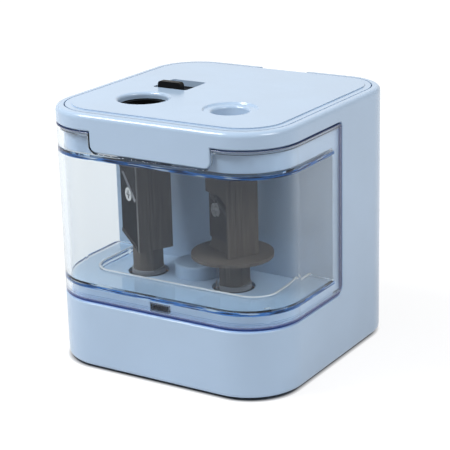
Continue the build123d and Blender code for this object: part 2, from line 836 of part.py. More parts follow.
def cutter_carrier(at, block, shaft_top, shaft_d, head_d, bore_d, cone_h, edge):
    """Carrier on its spindle: the block, the bored head, the shaft with its flat, and the switch stem."""
    body = on_spindle(at, block)
    body += rod(at, head_bottom, head_top, head_d)
    flange_top = ceiling_under - head_gap
    body += rod(at, flange_top - head_flange_t, flange_top, head_d + 2 * head_flange_w)
    body += d_bar(at, shaft_under, shaft_top, shaft_d)
    body += rod(at, stem_under, shaft_under, stem_d)
    body -= taper(at, ceiling_under - cone_h, ceiling_under, tip_d, bore_d)
    body -= rod(at, ceiling_under, head_top, bore_d)
    (low_x, low_z), (high_x, high_z) = edge
    span_x, span_z = high_x - low_x, high_z - low_z
    span = sqrt(span_x ** 2 + span_z ** 2)
    ux, uz = span_x / span, span_z / span
    x0, z0 = low_x + slot_end * ux, low_z + slot_end * uz
    x1, z1 = high_x - slot_end * ux, high_z - slot_end * uz
    dx, dz = uz * shaving_slot, -ux * shaving_slot
    slot = [(x0, z0), (x1, z1), (x1 + dx, z1 + dz), (x0 + dx, z0 + dz)]
    return body - on_spindle(at, face_panel(slot, -head_d, 0))


def block_panel(points, block_d):
    """Block of a carrier about its axis, with a fine bevel on the corner beside the blade."""
    block = face_panel(points, -block_d / 2, block_d / 2)
    front_edges = block.edges().filter_by(Axis.Z).group_by(Axis.Y)[0]
    return chamfer(front_edges.sort_by(Axis.X)[-1], corner_bevel)


def blade_outline(block_w, sole, edge, play):
    """Blade or its seat: a lower edge on the sole's line, upright sides and the cutting edge on top."""
    x0, x1 = -block_w / 2, block_w / 2 - seat_rim - play
    low = [(x0, on_line(sole, x0) + play), (x1, on_line(sole, x1) + play)]
    return low + [(x1, on_line(edge, x1)), (x0, on_line(edge, x0))]


def square_on(at, y, spot, solid):
    """Put a solid that stands on the origin square to the blade face, at depth y and pointing outwards."""
    return on_spindle(at, Pos(spot[0], y, spot[1]) * Rot(90, 0, 0) * solid)


def blade_screw(at, skin, spot, play=0.0):
    """Countersunk screw whose head is level with the blade's outside, at the depth skin."""
    head = Cone(blade_shank_d / 2 + play, blade_screw_d / 2 + play, blade_screw_h)
    shank = Cylinder(blade_shank_d / 2 + play, blade_shank_len)
    screw = Pos(0, 0, -blade_screw_h / 2) * head
    return square_on(at, skin, spot, screw + Pos(0, 0, -blade_screw_h - blade_shank_len / 2) * shank)


def crossed_screw(at, skin, spot):
    return blade_screw(at, skin, spot) - square_on(at, skin, spot, cross((0, 0), 0))


def blade(at, outline, skin, spot):
    plate = face_panel(outline, skin, skin + blade_t)
    edge = plate.edges().group_by(Axis.Y)[0].sort_by(Axis.Z)[-1]
    return on_spindle(at, chamfer(edge, blade_bevel)) - blade_screw(at, skin, spot, fit_play)


def edge_line(block_w, low_drop, high_drop):
    return ((block_w / 2, ceiling_under - low_drop), (-block_w / 2, ceiling_under - high_drop))


def screw_spot(edge, x):
    return (x, on_line(edge, x) - screw_below_edge)


left_edge = edge_line(left_block_w, left_edge_drop, left_edge_top_drop)
left_seat_foot = left_foot + seat_ledge
left_sole = ((left_block_w / 2, left_seat_foot), (-left_block_w / 2, left_seat_foot + left_slant))
left_skin = left_seat_drop - left_block_d / 2
left_spot = screw_spot(left_edge, left_screw_x)
left_blade_outline = blade_outline(left_block_w, left_sole, left_edge, blade_play)
right_edge = edge_line(right_block_w, right_edge_drop, right_edge_top_drop)
right_seat_foot = disc_top + disc_flare
right_sole = ((right_block_w / 2, right_seat_foot), (-right_block_w / 2, right_seat_foot))
right_skin = right_seat_drop - right_block_d / 2
right_spot = screw_spot(right_edge, right_screw_x)
right_blade_outline = blade_outline(right_block_w, right_sole, right_edge, blade_play)


def left_carrier():
    at = spindles["left"]
    half = left_block_w / 2
    points = [(half, left_foot), (half, head_bottom), (-half, head_bottom), (-half, left_foot + left_slant)]
    block = block_panel(points, left_block_d)
    seat = blade_outline(left_block_w, left_sole, left_edge, 0)
    block -= face_panel(seat, -left_block_d, left_skin + blade_t)
    bore_d = large_pencil_d + pencil_play
    shaft_top = left_foot + left_slant
    body = cutter_carrier(at, block, shaft_top, left_shaft_d, left_head_d, bore_d, left_cone_h, left_edge)
    return body - blade_screw(at, left_skin, left_spot, fit_play)


def right_carrier():
    at = spindles["right"]
    half = right_block_w / 2
    points = [(half, disc_under), (half, head_bottom), (-half, head_bottom), (-half, disc_under)]
    block = block_panel(points, right_block_d)
    seat_y = right_skin + blade_t
    block -= box(-right_block_w, half - seat_rim, -right_block_d, seat_y, disc_under, right_seat_top)
    block += rod((0, 0), disc_under, disc_top, disc_d)
    feet_edges = block.edges().filter_by(GeomType.LINE).filter_by_position(Axis.Z, disc_top, disc_top)
    flared = feet_edges.filter_by_position(Axis.X, -half, -half)
    flared += feet_edges.filter_by_position(Axis.Y, seat_y, seat_y)
    block = fillet(flared, disc_flare)
    bore_d = standard_pencil_d + pencil_play
    body = cutter_carrier(at, block, disc_top, right_shaft_d, right_head_d, bore_d, right_cone_h, right_edge)
    return body - blade_screw(at, right_skin, right_spot, fit_play)


def return_spring(at, shaft_d):
    outer = shaft_d / 2 - key_flat - spring_play
    return coil(at, pocket_floor, shaft_under, outer - spring_wire / 2, spring_wire, spring_turns)


# Start switches
def start_board():
    x0 = left_x - switch_w / 2 - board_margin
    x1 = right_x + switch_w / 2 + board_margin
    y0, y1 = spindle_y - switch_w / 2 - board_margin, spindle_y + switch_w / 2 + board_margin
    return box(x0, x1, y0, y1, base_plate_top, board_top)


def start_switch(at):
    body = Pos(at[0], at[1], (board_top + switch_top) / 2) * Box(switch_w, switch_w, switch_h)
    return body - rod(at, board_top + switch_floor, switch_top, plunger_d + 2 * run_play)


def switch_plunger(at):
    return rod(at, board_top + switch_floor + plunger_bottom_play + press_travel, plunger_top, plunger_d)


# Batteries
def battery_tray():
    inner = side - wall - tray_play
    row = row_half + cell_d / 2 + cell_play
    tray = box(-inner, inner, partition_front, partition_rear, base_plate_top, tray_top)
    tray += box(-row - tray_t, row + tray_t, partition_rear, tray_rear, tray_foot, tray_floor)
    tray += box(-row - tray_t, row + tray_t, partition_rear, tray_rear, tray_roof, tray_top)
    divider_rear = cell_y - contact_w / 2 - cell_play
    for x in cell_xs[:-1]:
        middle = x + cell_pitch / 2
        tray += bar(middle, divider_t, partition_rear, divider_rear, tray_floor, tray_roof)
    keep = slab(plan(wall + tray_play), 0, height)
    for sx in (-1, 1):
        tray += box(sx * row, sx * (row + tray_t), partition_rear, tray_rear, tray_foot, tray_top)
    return tray & keep


def cell_low(index):
    """Lower end of a cell: every second cell stands on its nub, the others on a spring."""
    spring = contact_room if index % 2 == 0 else 0.0
    return tray_floor + contact_t + spring


def aa_cells():
    cells = []
    for i, x in enumerate(cell_xs):
        z = cell_low(i)
        nub_up = i % 2 == 0
        body_z = z if nub_up else z + cell_nub_h
        nub_z = z + cell_len - cell_nub_h if nub_up else z
        body = rod((x, cell_y), body_z, body_z + cell_len - cell_nub_h, cell_d)
        cells.append(body + rod((x, cell_y), nub_z, nub_z + cell_nub_h, cell_nub_d))
    return Compound(cells)


def battery_springs():
    coils = []
    for i, x in enumerate(cell_xs):
        low = tray_floor + contact_t if i % 2 == 0 else cell_low(i) + cell_len
        coils.append(coil((x, cell_y), low, low + contact_room, cell_nub_d / 2, contact_wire, contact_turns))
    return Compound(coils)


def battery_plates():
    """Contact strips: pairs below, and above one pair between two single ends."""
    y0, y1 = cell_y - contact_w / 2, cell_y + contact_w / 2
    end_x = contact_w / 4
    runs = [(cell_xs[i], cell_xs[i + 1], tray_floor) for i in range(0, cell_count, 2)]
    upper = tray_roof - contact_t
    runs += [(cell_xs[0], cell_xs[0], upper), (cell_xs[-1], cell_xs[-1], upper)]
    runs += [(cell_xs[i], cell_xs[i + 1], upper) for i in range(1, cell_count - 1, 2)]
    return Compound([box(x0 - end_x, x1 + end_x, y0, y1, z, z + contact_t) for x0, x1, z in runs])


def battery_door():
    z0, z1 = door_foot + door_gap, door_top - door_gap
    door = slab(plan(), z0, z1) - slab(plan(door_t), z0, z1)
    door &= bar(0, door_w - 2 * door_gap, rear - rear_corner_r / 2, big, z0, z1)
    door += bar(notch_x, notch_w - 2 * door_gap, rear - door_t, rear, z1, height - notch_depth)
    hook_y1 = rear - wall - door_gap
    hook_y0 = hook_y1 - hook_t
    for sx in (-1, 1):
        door += bar(sx * hook_x, hook_w, hook_y0, hook_y1, door_foot - hook_drop, z0 + hook_root)
        door += bar(sx * hook_x, hook_w, hook_y0, rear - door_t / 2, z0, z0 + hook_root)
    return door


def rubber_feet():
    return Compound([rod(at, 0, foot_t, foot_d) for at in feet])


def axle(at, z1, d):
    return rod(at, frame_under, z1, d)


parts = {
    "main_housing": main_housing(),
    "top_plate": top_plate(),
    "guide_slide": guide_slide(),
    "shavings_bin": shavings_bin(),
    "gear_deck": gear_deck(),
    "base_plate": base_plate(),
    "gear_frame": gear_frame(),
    "spindle_bushes": spindle_bushes(),
    "left_spindle_gear": spindle_gear(spindles["left"], left_shaft_d, left_phase),
    "right_spindle_gear": spindle_gear(spindles["right"], right_shaft_d, right_phase),
    "idler_gear": idler_gear(),
    "idler_axle": axle(idler_at, deck_top + idler_boss_h - axle_cap, idler_axle_d),
    "transfer_gear": transfer_gear(),
    "transfer_axle": axle(transfer_at, deck_top - axle_cap, transfer_axle_d),
    "motor_pinion": motor_pinion(),
    "motor_shaft": motor_shaft(),
    "motor_can": motor_can(),
    "motor_end_cap": motor_end_cap(),
    "motor_terminals": motor_terminals(),
    "left_carrier": left_carrier(),
    "right_carrier": right_carrier(),
    "left_blade": blade(spindles["left"], left_blade_outline, left_skin, left_spot),
    "right_blade": blade(spindles["right"], right_blade_outline, right_skin, right_spot),
    "left_blade_screw": crossed_screw(spindles["left"], left_skin, left_spot),
    "right_blade_screw": crossed_screw(spindles["right"], right_skin, right_spot),
    "left_return_spring": return_spring(spindles["left"], left_shaft_d),
    "right_return_spring": return_spring(spindles["right"], right_shaft_d),
    "start_board": start_board(),
    "left_start_switch": start_switch(spindles["left"]),
    "right_start_switch": start_switch(spindles["right"]),
    "left_switch_plunger": switch_plunger(spindles["left"]),
    "right_switch_plunger": switch_plunger(spindles["right"]),
    "battery_tray": battery_tray(),
    "aa_cells": aa_cells(),
    "battery_springs": battery_springs(),
    "battery_plates": battery_plates(),
    "battery_door": battery_door(),
    "base_screws": screws(base_posts, foot_drop, screw_len - wall),
    "frame_screws": screws(frame_posts, frame_under - screw_head_h, frame_t + screw_len - wall),
    "deck_screws": screws(deck_ears, ledge_under - screw_head_h, deck_top - axle_cap - ledge_under),
    "rubber_feet": rubber_feet(),
}

os.makedirs("parts", exist_ok=True)
for name, solid in parts.items():
    export_step(solid, f"parts/{name}.step")
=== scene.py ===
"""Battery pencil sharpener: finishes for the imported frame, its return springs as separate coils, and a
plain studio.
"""

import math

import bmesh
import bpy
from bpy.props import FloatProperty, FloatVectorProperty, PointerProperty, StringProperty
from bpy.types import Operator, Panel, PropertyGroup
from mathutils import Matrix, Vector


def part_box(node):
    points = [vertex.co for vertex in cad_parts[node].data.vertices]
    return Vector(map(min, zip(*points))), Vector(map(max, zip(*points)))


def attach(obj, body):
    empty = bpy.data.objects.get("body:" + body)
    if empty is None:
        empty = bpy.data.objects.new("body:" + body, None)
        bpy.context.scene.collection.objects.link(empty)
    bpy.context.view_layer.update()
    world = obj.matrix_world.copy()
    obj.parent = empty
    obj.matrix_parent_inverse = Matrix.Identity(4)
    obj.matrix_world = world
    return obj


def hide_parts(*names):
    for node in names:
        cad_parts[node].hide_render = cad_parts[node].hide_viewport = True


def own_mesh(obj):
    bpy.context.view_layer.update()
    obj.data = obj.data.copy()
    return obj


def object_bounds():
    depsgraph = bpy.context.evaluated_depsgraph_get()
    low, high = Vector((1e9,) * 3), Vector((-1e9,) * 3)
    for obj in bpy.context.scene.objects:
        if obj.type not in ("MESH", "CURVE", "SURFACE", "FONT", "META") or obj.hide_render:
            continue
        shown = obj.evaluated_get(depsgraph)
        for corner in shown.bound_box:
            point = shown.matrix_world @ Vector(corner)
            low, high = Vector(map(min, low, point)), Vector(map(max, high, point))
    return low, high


bl_info = {
    "name": "Battery Pencil Sharpener",
    "version": (1, 0, 0),
    "blender": (4, 5, 0),
    "location": "View3D > Sidebar > Sharpener",
    "description": "Finishes the pencil sharpener's frame, makes its springs squash and sets a plain stage",
    "category": "Object",
}

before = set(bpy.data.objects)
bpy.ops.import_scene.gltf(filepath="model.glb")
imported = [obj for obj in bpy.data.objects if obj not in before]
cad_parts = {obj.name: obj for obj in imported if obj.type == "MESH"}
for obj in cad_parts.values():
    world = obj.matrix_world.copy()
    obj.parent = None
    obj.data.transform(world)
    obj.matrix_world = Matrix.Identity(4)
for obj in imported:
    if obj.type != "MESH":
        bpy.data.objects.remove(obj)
cad_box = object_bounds()

MM = 0.001
MICRON = 0.001 * MM

# Measures of the frame that the finishes follow, to about a tenth of a millimetre. The base's one corner
# stands for its front and rear ones, and the carriers' turn is in degrees.
CARRIER_TURN = 28.0
COLLAR_RISE = 1.3
BASE_CORNER = 16.0
FLOOR_UNDER_HUB = 0.85
FLANGE_TALL = 1.5
FLANGE_APART = 39.75
LIP_RISE = 2.2
COLUMN_LAP = 4.7

# Where tones lie, in millimetres: in from the bin's sides and front, on a flange, under the lip's top,
# over the bin's foot, and from a cell's middle down and up
SIDE_DEPTH = 5.0
FRONT_DEPTH = 6.0
FLANGE_MARGIN = 0.25
LIP_TONE = 0.35
STEP_RISE = 1.85
STEP_WIDTH = 0.15
CELL_STRIPE = (-4.0, 7.0)

# Where the floor's two glows start and are full, in millimetres past the housing's outline. Short of that the
# floor
# glows less: a painted contact shadow and painted shade round the housing
NEAR_GLOW = (-1.5, 0.3)
FAR_GLOW = (0.0, 184.0)

# Each carrier's block: its foot over the gear, in millimetres, and two painted tones above it: painted shade
# on the face that carries the blade, and a painted highlight on the corner chamfer beside that face
CARRIER_SHADE_AND_HIGHLIGHT = {"left": (6.9, "#2A2725", "#8C8A88"), "right": (9.9, "#625B54", "#6C655E")}


# Shared tools
def linear(code):
    """Turn an sRGB hex colour into the linear colour that the shaders take."""
    channels = [int(code[i:i + 2], 16) / 255 for i in (1, 3, 5)]
    return [c / 12.92 if c <= 0.04045 else ((c + 0.055) / 1.055) ** 2.4 for c in channels] + [1.0]


def add(tree, kind, settings=None, inputs=None):
    """Add a shader node, set its own settings, and set or link its inputs."""
    node = tree.nodes.new("ShaderNode" + kind)
    for name, value in (settings or {}).items():
        setattr(node, name, value)
    for key, value in (inputs or {}).items():
        if isinstance(value, bpy.types.NodeSocket):
            tree.links.new(value, node.inputs[key])
        else:
            node.inputs[key].default_value = value
    return node


def new_material(name):
    """Empty material, its node tree, and the place on the object that its patterns follow."""
    material = bpy.data.materials.new(name)
    material.use_nodes = True
    tree = material.node_tree
    tree.nodes.clear()
    return material, tree, add(tree, "TexCoord").outputs["Object"]


def dress(material, *names):
    """Give a finish to nodes of the frame."""
    for name in names:
        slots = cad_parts[name].data.materials
        slots.clear()
        slots.append(material)


def new_object(name, bm, material):
    """Turn a bmesh into an object of the scene."""
    mesh = bpy.data.meshes.new(name)
    bm.to_mesh(mesh)
    bm.free()
    mesh.materials.append(material)
    piece = bpy.data.objects.new(name, mesh)
    bpy.context.scene.collection.objects.link(piece)
    return piece


def ramp(tree, value, low, high, start=0.0, end=1.0):
    """Start up to the level low, end from the level high on, and a straight ramp between."""
    return add(tree, "MapRange", inputs={
        "Value": value, "From Min": low, "From Max": high, "To Min": start, "To Max": end}).outputs["Result"]


def joined(tree, operation, *values):
    """Values joined in turn: MAXIMUM for what any mask covers, MULTIPLY for what all of them cover."""
    whole = values[0]
    for value in values[1:]:
        whole = add(tree, "Math", {"operation": operation}, {0: whole, 1: value}).outputs[0]
    return whole


def between(tree, value, low, high, fade=0.1 * MM):
    """1 between two levels, and 0 past them."""
    return joined(tree, "MULTIPLY", ramp(tree, value, low - fade, low), ramp(tree, value, high + fade, high))


def blend(tree, mask, first, second):
    """Colour that goes from the first to the second with the mask."""
    return add(tree, "Mix", {"data_type": "RGBA"}, {0: mask, 6: first, 7: second}).outputs[2]


def noise(tree, place, size_mm, detail, squeeze=None):
    """Noise with spots of a size, which are flat along an axis of high squeeze and long along a low one."""
    if squeeze:
        place = add(tree, "Mapping", inputs={"Vector": place, "Scale": squeeze}).outputs["Vector"]
    return add(tree, "TexNoise", inputs={
        "Vector": place, "Scale": 1 / (size_mm * MM), "Detail": detail}).outputs["Fac"]


def shaded(tree, code, level):
    """Colour made lighter or darker by a level."""
    return add(tree, "VectorMath", {"operation": "SCALE"}, {
        0: linear(code)[:3], "Scale": level}).outputs["Vector"]


def relief(tree, height, depth):
    """Normal of a fine relief with a depth in metres."""
    return add(tree, "Bump", inputs={"Height": height, "Distance": depth}).outputs["Normal"]


def second_tone(material, mask, code):
    """Lay a second colour over a finish where the mask, which is made in its tree, is 1."""
    tree = material.node_tree
    colour = tree.nodes["Principled BSDF"].inputs["Base Color"]
    tree.links.new(blend(tree, mask(tree), colour.links[0].from_socket, linear(code)), colour)


def within_heights(tree, low, high):
    """Mask of what lies between two heights."""
    place = add(tree, "SeparateXYZ", inputs={0: add(tree, "TexCoord").outputs["Object"]})
    return between(tree, place.outputs["Z"], low, high)


def faces_towards(direction, level):
    """Mask of the faces over a level that look in a direction."""
    def mask(tree):
        normal = add(tree, "TexCoord").outputs["Normal"]
        facing = add(tree, "VectorMath", {"operation": "DOT_PRODUCT"}, {0: normal, 1: direction})
        square = ramp(tree, facing.outputs["Value"], 0.997, 0.999)
        return joined(tree, "MULTIPLY", square, within_heights(tree, level, cad_box[1][2]))
    return mask


# Finishes
def moulded(name, code, roughness, ior=1.54, mirror=0.5, peel_mm=1.6, peel_um=3.0):
    """Moulded plastic: a faint cloud in the colour, uneven gloss, and a skin with a little orange peel."""
    material, tree, place = new_material(name)
    clouds = noise(tree, place, size_mm=22.0, detail=3.0)
    level = ramp(tree, clouds, 0.3, 0.7, 0.975, 1.025)
    haze = ramp(tree, clouds, 0.3, 0.7, roughness * 0.85, roughness * 1.2)
    skin = noise(tree, place, peel_mm, detail=1.0)
    shader = add(tree, "BsdfPrincipled", inputs={
        "Base Color": shaded(tree, code, level), "Roughness": haze, "IOR": ior,
        "Specular IOR Level": mirror, "Normal": relief(tree, skin, peel_um * MICRON)})
    add(tree, "OutputMaterial", inputs={"Surface": shader.outputs["BSDF"]})
    return material


def bin_zones(tree, place, edge_width):
    """Masks of the bin's zones, by their place."""
    (left, front, low), (right, back, high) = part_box("shavings_bin")
    axes = add(tree, "SeparateXYZ", inputs={0: place}).outputs
    x, y, z = axes["X"], axes["Y"], axes["Z"]
    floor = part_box("left_spindle_gear")[1][2] - FLOOR_UNDER_HUB * MM
    ceiling = floor + FLANGE_APART * MM
    lip_top = floor + LIP_RISE * MM
    step_foot = low + STEP_RISE * MM
    lap = back - COLUMN_LAP * MM
    room = joined(
        tree, "MULTIPLY",
        between(tree, x, left + SIDE_DEPTH * MM, right - SIDE_DEPTH * MM),
        ramp(tree, y, front + FRONT_DEPTH * MM, front + (FRONT_DEPTH + 1) * MM))
    walls = joined(tree, "MULTIPLY", ramp(tree, room, 1, 0), ramp(tree, y, lap, lap - 0.2 * MM))
    heights = joined(tree, "MAXIMUM", *[
        between(tree, z, foot + FLANGE_MARGIN * MM, foot + (FLANGE_TALL - FLANGE_MARGIN) * MM)
        for foot in (floor, ceiling)])
    step = between(tree, z, step_foot, step_foot + STEP_WIDTH * MM, fade=0.05 * MM)
    return {
        # Painted shade: a dark navy line along the bin's foot, top and rear edges, where it meets the housing
        "edges": joined(
            tree, "MAXIMUM",
            ramp(tree, z, low + edge_width, low + edge_width / 2),
            ramp(tree, z, high - edge_width / 3, high),
            ramp(tree, y, back - edge_width, back - edge_width / 2)),
        "flanges": joined(tree, "MULTIPLY", heights, walls),
        # Painted highlight: the top of the floor's lip is made less clear, so that it shows as a light line
        "lip": joined(tree, "MULTIPLY", between(tree, z, lip_top - LIP_TONE * MM, lip_top), room),
        # Painted shade: a fine line over the bin's foot stands for a small step that the geometry lacks
        "step": joined(tree, "MULTIPLY", step, walls),
        "rims": joined(
            tree, "MAXIMUM",
            ramp(tree, z, lip_top + 0.1 * MM, lip_top),
            ramp(tree, z, ceiling - 0.2 * MM, ceiling)),
        # Painted light: past the two flanges the bin is clearer than elsewhere, so what shows through there
        # looks lighter
        "bands": joined(
            tree, "MAXIMUM",
            ramp(tree, z, floor, floor - 0.1 * MM),
            ramp(tree, z, ceiling + FLANGE_TALL * MM, ceiling + (FLANGE_TALL + 0.1) * MM)),
    }


def clear_styrene(name, settings):
    """Clear styrene with a blue tint: thin walls look colourless, and what is seen end on goes blue. Its
    edges, flanges, floor lip and a fine line over its foot carry painted shade and painted highlights.
    """
    material, tree, place = new_material(name)
    zones = bin_zones(tree, place, settings.edge_width)
    rubs = noise(tree, place, size_mm=9.0, detail=4.0)
    glints = noise(tree, place, size_mm=8.0, detail=1.0, squeeze=(1, 1, 24))
    # The flanges, seen end on, take the tint's blue with painted dark lines, painted shade, and pale glints,
    # painted highlights
    line = blend(tree, ramp(tree, glints, 0.4, 0.5), linear(settings.flange_dark), linear(settings.flange))
    line = blend(tree, ramp(tree, glints, 0.59, 0.64), line, linear(settings.glint))
    # Past the flanges the bin is clearer: painted light on what shows through
    colour = blend(tree, zones["bands"], linear(settings.surface), linear(settings.band))
    # Painted shade of the missing small step over the bin's foot
    colour = blend(tree, zones["step"], colour, linear(settings.step))
    colour = blend(tree, zones["flanges"], colour, line)
    # The edges take the navy colour: painted shade along the bin's seams
    colour = blend(tree, zones["edges"], colour, linear(settings.edge))
    # The flanges, edges and lip's top let less through so their colours show; on the lip this is a painted
    # highlight
    clear = joined(tree, "MULTIPLY", *[
        ramp(tree, zones[zone], 0, 1, 1.0, share)
        for zone, share in (("flanges", 0.5), ("edges", 0.5), ("lip", 0.45))])
    shader = add(tree, "BsdfPrincipled", inputs={
        "Base Color": colour, "Roughness": ramp(tree, rubs, 0.4, 0.75, 0.01, 0.05), "IOR": 1.57,
        "Transmission Weight": clear, "Specular Tint": linear(settings.mirror)})
    shade = blend(tree, zones["rims"], linear(settings.shade), linear(settings.rim_shade))
    passing = add(tree, "BsdfTransparent", inputs={"Color": shade})
    path = add(tree, "LightPath")
    surface = add(tree, "MixShader", inputs={
        0: path.outputs["Is Shadow Ray"], 1: shader.outputs["BSDF"], 2: passing.outputs["BSDF"]})
    tint = add(tree, "VolumeAbsorption", inputs={
        "Color": linear(settings.tint), "Density": settings.density})
    add(tree, "OutputMaterial", inputs={
        "Surface": surface.outputs["Shader"], "Volume": tint.outputs["Volume"]})
    return material


def filled_nylon(name, code, roughness):
    """Glass-filled nylon: drawn out of its tool, so it has fine upright streaks and a dry sheen."""
    material, tree, place = new_material(name)
    streaks = noise(tree, place, size_mm=0.5, detail=3.0, squeeze=(1, 1, 0.04))
    level = ramp(tree, streaks, 0.3, 0.7, 0.75, 1.3)
    sheen = ramp(tree, streaks, 0.3, 0.7, roughness * 0.8, roughness * 1.2)
    shader = add(tree, "BsdfPrincipled", inputs={
        "Base Color": shaded(tree, code, level), "Roughness": sheen, "IOR": 1.53,
        "Specular IOR Level": 0.03, "Normal": relief(tree, streaks, 10 * MICRON)})
    add(tree, "OutputMaterial", inputs={"Surface": shader.outputs["BSDF"]})
    return material


def ground_metal(name, code, roughness, grain_mm, squeeze=None, scratch_um=4.0, rim="#FFFFFF"):
    """Metal with the marks of its making: grinding lines, turning lines or a plated grain, by the squeeze."""
    material, tree, place = new_material(name)
    grain = noise(tree, place, grain_mm, detail=4.0, squeeze=squeeze)
    level = ramp(tree, grain, 0, 1, 0.8, 1.15)
    gloss = ramp(tree, grain, 0, 1, roughness * 0.7, roughness * 1.3)
    shader = add(tree, "BsdfPrincipled", inputs={
        "Base Color": shaded(tree, code, level), "Roughness": gloss, "Metallic": 1.0,
        "Specular Tint": linear(rim), "Normal": relief(tree, grain, scratch_um * MICRON)})
    add(tree, "OutputMaterial", inputs={"Surface": shader.outputs["BSDF"]})
    return material


# What a user would change
class ShellFinish(PropertyGroup):
    """The light shells and the grey inner parts"""
    colour: StringProperty(
        name="Housing", description="Colour of the light ABS shells", default="#AFC6DF")
    inner: StringProperty(
        name="Inner parts", description="Colour of the tray and the gear frame", default="#C9CED4")
    roughness: FloatProperty(
        name="Gloss", description="Roughness of the shells", default=0.2, min=0, max=1)


class ClearFinish(PropertyGroup):
    """The clear bin"""
    surface: StringProperty(
        name="Surface", description="Colour of the clear bin's surface", default="#F3F4F4")
    # The band colour is painted light: a clearer bin past the flanges lightens what shows through
    band: StringProperty(
        name="Bands", description="Colour of the bin's surface past the two flanges", default="#FBFBFB")
    shade: StringProperty(
        name="Shade", description="Colour of the light that the bin lets in", default="#EAE9E7")
    rim_shade: StringProperty(
        name="Rim shade", description="Colour of the light that the bin's two rims let in", default="#F8F8F8")
    tint: StringProperty(
        name="Tint", description="Colour that long ways through the bin take", default="#58AAD2")
    density: FloatProperty(
        name="Tint strength", description="Strength of the tint, per metre", default=46.0)
    mirror: StringProperty(
        name="Mirror", description="Colour of what the bin mirrors", default="#9AA2B0")
    # The edge colour is painted shade along the bin's seams
    edge: StringProperty(
        name="Edge", description="Colour of the bin's outer edges", default="#123E86")
    edge_width: FloatProperty(
        name="Edge width", description="Width of the coloured edges", unit="LENGTH", default=1.3 * MM)
    # The step colour is a painted line of shade for a small step that the geometry lacks
    step: StringProperty(
        name="Step", description="Colour of the fine line over the bin's lower edge", default="#94AAC6")
    flange: StringProperty(
        name="Flange", description="Colour of the flanges, seen end on", default="#3F7CCB")
    # The flange's dark lines are painted shade and its glints are painted highlights
    flange_dark: StringProperty(
        name="Flange depth", description="Colour of the dark lines in the flanges", default="#12264A")
    glint: StringProperty(
        name="Flange glint", description="Colour of the bright lines in the flanges", default="#D3E8F8")


class CutterFinish(PropertyGroup):
    """The carriers, the blades and the screws"""
    carrier: StringProperty(
        name="Carrier", description="Colour of the cutter carriers", default="#625B54")
    # The left blade's face is near black: a painted dark reflection on bright steel. The right blade's face
    # and edge are dimmed tones of the same steel: painted shade
    blade: StringProperty(
        name="Blade", description="Colour of the left blade's face", default="#0B0B0C")
    ground: StringProperty(
        name="Edge", description="Colour of the left blade's ground edge", default="#A5A7AA")
    right_face_painted_shade: StringProperty(
        name="Right blade", description="Colour of the right blade's face", default="#4A4541")
    right_edge_painted_shade: StringProperty(
        name="Right edge", description="Colour of the right blade's ground edge", default="#6A6764")
    screw: StringProperty(
        name="Screws", description="Colour of the bright screws", default="#C6C8CA")


class StageSettings(PropertyGroup):
    """The camera, the floor and the light"""
    place: FloatVectorProperty(
        name="Camera", description="Where the camera stands", subtype="TRANSLATION", unit="LENGTH",
        default=(0.23795, -0.37385, 0.18196))
    turn: FloatProperty(
        name="Turn", description="How far right of the front it stands", subtype="ANGLE", unit="ROTATION",
        default=math.radians(32.385))
    tilt: FloatProperty(
        name="Tilt", description="How far down it looks", subtype="ANGLE", unit="ROTATION",
        default=math.radians(18.05))
    roll: FloatProperty(
        name="Roll", description="How far it leans", subtype="ANGLE", unit="ROTATION",
        default=math.radians(-1.52))
    lens: FloatProperty(
        name="Lens", description="Focal length in millimetres", unit="CAMERA", default=121.04)
    floor: StringProperty(
        name="Floor", description="Colour of the floor", default="#E3E4E6")
    shadow: StringProperty(
        name="Shadow", description="How strongly the floor shows shadows", default="#7C7D80")
    # Less glow near the housing paints its contact shadow and the shade round it
    near_glow: FloatProperty(
        name="Near glow", description="Glow of the floor round the housing", default=0.86)
    far_glow: FloatProperty(
        name="Far glow", description="Glow that the floor gains further away", default=0.15)
    room: FloatProperty(
        name="Room", description="Strength of the light from all round", default=0.17)
    key: FloatProperty(
        name="Key", description="Power of the lamp at the front left", unit="POWER", default=5.4)
    fill: FloatProperty(
        name="Fill", description="Power of the lamp at the right", unit="POWER", default=4.4)


# Pieces
class SHARPENER_OT_shells(Operator):
    """Finish the light-blue shells in glossy ABS"""
    bl_idname = "sharpener.shells"
    bl_label = "Shells"

    def execute(self, context):
        shell = context.scene.sharpener_shell
        gloss = moulded("gloss_abs_light_blue", shell.colour, shell.roughness)
        dress(gloss, "main_housing", "top_plate", "gear_deck", "base_plate", "battery_door")
        return {"FINISHED"}


class SHARPENER_OT_bin(Operator):
    """Finish the shavings bin in clear styrene"""
    bl_idname = "sharpener.bin"
    bl_label = "Shavings bin"

    def execute(self, context):
        dress(clear_styrene("clear_styrene_blue", context.scene.sharpener_clear), "shavings_bin")
        return {"FINISHED"}


class SHARPENER_OT_guide(Operator):
    """Finish the guide slide in black ABS"""
    bl_idname = "sharpener.guide"
    bl_label = "Guide slide"

    def execute(self, context):
        black = moulded(
            "satin_abs_black", "#0B0B0C", roughness=0.4, mirror=0.08, peel_mm=0.7, peel_um=4.0)
        dress(black, "guide_slide")
        return {"FINISHED"}


